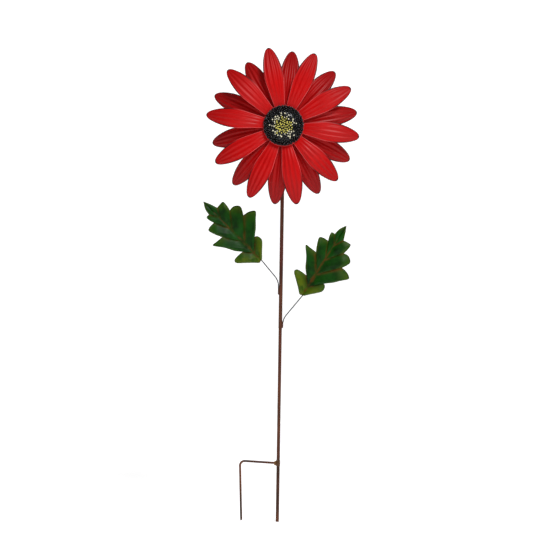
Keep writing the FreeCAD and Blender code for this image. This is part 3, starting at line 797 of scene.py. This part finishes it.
def leaf_height(x, y, lobe, out, scale):
    """Forward height of the leaf: folded at the midrib, drooping, each lobe puffed between furrows."""
    fold = LEAF["fold"] * (math.sqrt(y * y + LEAF["fold_round"] ** 2) - LEAF["fold_round"])
    droop = LEAF["droop"] * (max(x, 0.0) / LEAF_LENGTH) ** 2
    hump = math.sin(math.pi * min(max(lobe, 0.0), 1.0)) ** LEAF["hump_power"]
    reach = smooth_step(*LEAF["rise_out"], out)
    reach *= 1.0 - LEAF["fall_share"] * smooth_step(*LEAF["fall_out"], out)
    raised = LEAF["puff"] * scale * hump * reach
    sunk = LEAF["furrow_depth"] * scale * (1 - hump) * reach
    return fold - droop + raised - sunk


def leaf_side(lobes, sign):
    """Grid rows of one side: each row runs from the midrib out to one place on the edge."""
    rows, uv_rows = [], []
    for index, (origin, points) in enumerate(lobes):
        edge = curve_through(points, EDGE_STEP)
        following = lobes[index + 1][0] if index + 1 < len(lobes) else LEAF_LENGTH
        previous = lobes[index - 1][0] if index else 0.0
        last = len(edge) - 1
        scale = LEAF["last_lobe"] if index == len(lobes) - 1 else 1.0
        for q, rim in enumerate(edge):
            f = q / last
            if index and q == 0:
                continue
            root = origin
            root += (following - origin) / 2 * smooth_step(0.7, 1.0, f)
            root += (previous - origin) / 2 * smooth_step(0.3, 0.0, f)
            share = root / LEAF_LENGTH
            start = Vector((root, -LEAF["midrib_sag"] * share**2 + LEAF["midrib_lift"] * (1 - share)))
            row, uv_row = [], []
            for j in range(LEAF_STEPS_OUT + 1):
                out = j / LEAF_STEPS_OUT
                place = start.lerp(rim, out)
                z = leaf_height(place.x, place.y, f, out, scale)
                row.append(Vector((place.x, place.y, z)))
                uv_row.append((index + f, out))
            rows.append(row)
            uv_rows.append(uv_row)
    if sign < 0:
        rows.reverse()
        uv_rows.reverse()
    return rows, uv_rows


def make_leaf(side):
    """Leaf in the place of its CAD node, facing forward on the end of its wire."""
    angle = math.radians(LEAF_ANGLES[side])
    base_x, base_z = LEAF_BASES[side]
    wire_low, wire_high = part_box(side + "_leaf_wire")
    forward = (wire_high[1] - wire_low[1]) / 2 + LEAF_GAP
    turn = Matrix.Rotation(-angle, 4, "Y") @ Matrix.Rotation(math.pi / 2, 4, "X")
    place = Matrix.Translation((base_x * MM, -forward, base_z * MM)) @ turn
    points, faces, uvs = [], [], []
    for lobes, sign in ((LEFT_LOBES, 1), (RIGHT_LOBES, -1)):
        rows, uv_rows = leaf_side(lobes, sign)
        back = [[p - Vector((0, 0, LEAF["thick"])) for p in row] for row in rows]
        verts, side_faces, side_uvs = closed_sheet(rows, back, uv_rows)
        start = len(points)
        points += [place @ ((p * LEAF_GROWTH + Vector((0, 0, LEAF["thick"]))) * MM) for p in verts]
        faces += [tuple(start + i for i in face) for face in side_faces]
        uvs += side_uvs
    leaf = new_object(side + "_leaf_skin", points, faces, uvs, leaf_green)
    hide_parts(side + "_leaf")
    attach(leaf, "stem")


for side in ("left", "right"):
    make_leaf(side)

# ------------------------------------------------------------------ ground fork

FORK_RADIUS = 2.6 * MM
PRONG_SPARE = 1.5 * MM
FORK_BEND = 11.0 * MM
BAR_RISE = math.radians(2.9)
ROD_SIDES = 20
BEND_STEPS = 18
TIP_STEPS = 6
TIP_LENGTH = 0.8
TIP_END = 0.1 * MM
BAR_START = 3.0  # millimetres from the stake's axis


def fork_path():
    """Centre line of the fork: out from the weld, round the bend and down to the prong's rounded end."""
    prong = next(mount for mount in frame["record"]["mounts"] if mount["name"] == "side_prong")
    down = Vector(prong["axis"]).normalized()
    end = Vector(prong["pos_m"]) + Vector(prong["axis"]) * PRONG_SPARE
    if down.z > 0:
        down.negate()
    out = Vector((-math.cos(BAR_RISE), 0, math.sin(BAR_RISE)))
    start = Vector((0, 0, middle("fork_weld").z))
    across = start - end
    reach = (across.x * down.z - across.z * down.x) / (down.x * out.z - down.z * out.x)
    corner = start + out * reach
    turn = out.angle(down)
    setback = FORK_BEND * math.tan(turn / 2)
    first = corner - out * setback
    centre = first + Vector((-out.z, 0, out.x)) * FORK_BEND
    path = [(start + out * BAR_START * MM, out, FORK_RADIUS)]
    for k in range(BEND_STEPS + 1):
        swing = Matrix.Rotation(-turn * k / BEND_STEPS, 3, "Y")
        path.append((centre + swing @ (first - centre), swing @ out, FORK_RADIUS))
    for k in range(TIP_STEPS + 1):
        tip = math.pi / 2 * k / TIP_STEPS
        place = end - down * FORK_RADIUS * TIP_LENGTH * (1 - math.sin(tip))
        path.append((place, down, max(FORK_RADIUS * math.cos(tip), TIP_END)))
    return path


def make_fork():
    """Round rod along the fork's centre line."""
    verts, faces = [], []
    path = fork_path()
    for place, along, radius in path:
        side = along.cross(Vector((0, 1, 0)))
        for k in range(ROD_SIDES):
            turn = math.tau * k / ROD_SIDES
            verts.append(place + (side * math.cos(turn) + Vector((0, math.sin(turn), 0))) * radius)
    for i in range(len(path) - 1):
        for k in range(ROD_SIDES):
            a = i * ROD_SIDES + k
            b = i * ROD_SIDES + (k + 1) % ROD_SIDES
            faces.append((a, b, b + ROD_SIDES, a + ROD_SIDES))
    faces.append(tuple(reversed(range(ROD_SIDES))))
    faces.append(tuple(range(len(verts) - ROD_SIDES, len(verts))))
    fork = new_object("ground_fork_rod", verts, faces, None, stem_paint)
    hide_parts("ground_fork")
    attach(fork, "stake")


make_fork()

# ------------------------------------------------------------------ weld beads

WELD_VOXEL = 0.7 * MM
WELD_LUMP = 0.9 * MM
WELD_SPREAD = 0.35 * MM
WELD_SMOOTHING = 5
WELD_COARSE = 210.0
WELD_FINE = 520.0
WELD_FINE_SHARE = 0.5
WELD_LOWEST = -0.3


def make_weld(node, body, paint):
    """Lumpy, rounded bead grown from the plain weld of the frame."""
    bead = bpy.data.objects.new(node + "_bead", frame["nodes"][node].data.copy())
    bpy.context.scene.collection.objects.link(bead)
    remesh = bead.modifiers.new("remesh", "REMESH")
    remesh.mode = "VOXEL"
    remesh.voxel_size = WELD_VOXEL
    smooth = bead.modifiers.new("smooth", "SMOOTH")
    smooth.iterations = WELD_SMOOTHING
    depsgraph = bpy.context.evaluated_depsgraph_get()
    skin = bpy.data.meshes.new_from_object(bead.evaluated_get(depsgraph))
    bead.modifiers.clear()
    normals = [vertex.normal.copy() for vertex in skin.vertices]
    for vertex, normal in zip(skin.vertices, normals):
        fine = WELD_FINE_SHARE * noise.noise(vertex.co * WELD_FINE)
        lump = noise.noise(vertex.co * WELD_COARSE) + fine
        vertex.co += normal * (WELD_SPREAD + WELD_LUMP * max(lump, WELD_LOWEST))
    skin.polygons.foreach_set("use_smooth", [True] * len(skin.polygons))
    skin.materials.clear()
    skin.materials.append(paint)
    bead.data = skin
    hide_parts(node)
    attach(bead, body)


make_weld("fork_weld", "stake", weld_paint)
for node in ("left_wire_weld", "right_wire_weld", "head_weld"):
    make_weld(node, "stem", stem_paint)

# ------------------------------------------------------------------ CAD pieces that keep their shape

PAINTS = {
    stem_paint: ("upper_stem", "lower_stem", "head_boss"),
    wire_paint: ("left_leaf_wire", "right_leaf_wire"),
    zinc: ("axle_bolt", "front_washer", "rear_washer", "stop_nut", "jam_nut", "cap_nut", "hub_sleeve"),
    bronze: ("front_bush", "rear_bush"),
    # The hub plates and tacks take the darker painted-shade copy of the petal red.
    shaded_red: ("front_hub_plate", "back_hub_plate", "dome_tacks"),
}
for paint, nodes in PAINTS.items():
    for node in nodes:
        for slot in frame["nodes"][node].material_slots:
            slot.material = paint

# ------------------------------------------------------------------ floor, light and camera

CAMERA_DISTANCE = 3.6
VIEW_WIDTH = 1.330
VIEW_CENTRE = Vector((-0.0134, 0.0, 0.5938))
STAKE_LEAN = math.radians(0.88)
KEY_DIRECTION = Vector((0.31, -0.66, 0.68)).normalized()
KEY_DISTANCE = 5.0
KEY_SIZE = 1.3
KEY_POWER = 190
SURROUND = 0.22
SENSOR_WIDTH = 36.0
FLOOR_GREY = (0.92, 0.92, 0.92, 1.0)
FLOOR_GLOW = 0.5
WHITE = (1.0, 1.0, 1.0, 1.0)


def make_floor():
    """Pale floor that sweeps up into a backdrop well behind the object."""
    half_width = 14.0
    front_y = -12.0
    wall_y = 5.0
    wall_top = 8.0
    sweep = 2.0
    steps = 16
    profile = [(front_y, 0.0)]
    for k in range(steps + 1):
        turn = math.pi / 2 * k / steps
        profile.append((wall_y - sweep + sweep * math.sin(turn), sweep - sweep * math.cos(turn)))
    profile.append((wall_y, wall_top))
    verts = [(x, y, z) for y, z in profile for x in (-half_width, half_width)]
    faces = [(2 * k, 2 * k + 1, 2 * k + 3, 2 * k + 2) for k in range(len(profile) - 1)]
    floor = new_object("floor", verts, faces)
    s = Shader("floor_white", Roughness=0.9, Specular_IOR_Level=0.1)
    s.colour(FLOOR_GREY)
    s.surface.inputs["Emission Color"].default_value = WHITE
    s.surface.inputs["Emission Strength"].default_value = FLOOR_GLOW
    floor.data.materials.append(s.material)


def area_light(name, place, target, size, power):
    """Square lamp at a place, aimed at a target."""
    data = bpy.data.lights.new(name, "AREA")
    data.shape = "SQUARE"
    data.size = size
    data.energy = power
    lamp = bpy.data.objects.new(name, data)
    lamp.location = place
    aim = Vector(target) - Vector(place)
    lamp.rotation_euler = aim.to_track_quat("-Z", "Y").to_euler()
    bpy.context.scene.collection.objects.link(lamp)


def make_light():
    """One large soft key, high and in front on the right, over an even pale surround."""
    world = bpy.data.worlds.new("studio")
    world.use_nodes = True
    background = world.node_tree.nodes["Background"]
    background.inputs["Color"].default_value = WHITE
    background.inputs["Strength"].default_value = SURROUND
    bpy.context.scene.world = world
    flower = Vector((0, 0, HUB_Z))
    area_light("key", flower + KEY_DIRECTION * KEY_DISTANCE, flower, KEY_SIZE, KEY_POWER)


def make_camera():
    """Level camera at the height of the stake's middle; the stake leans a little in its view."""
    data = bpy.data.cameras.new("camera")
    data.sensor_width = SENSOR_WIDTH
    data.lens = data.sensor_width * CAMERA_DISTANCE / VIEW_WIDTH
    camera = bpy.data.objects.new("camera", data)
    level = Euler((math.pi / 2, 0, 0)).to_matrix().to_4x4()
    roll = Matrix.Rotation(-STAKE_LEAN, 4, "Y")
    place = Matrix.Translation(VIEW_CENTRE + Vector((0, -CAMERA_DISTANCE, 0)))
    camera.matrix_world = place @ roll @ level
    bpy.context.scene.collection.objects.link(camera)
    bpy.context.scene.camera = camera


make_floor()
make_light()
make_camera()
bpy.context.scene.view_settings.view_transform = "Standard"
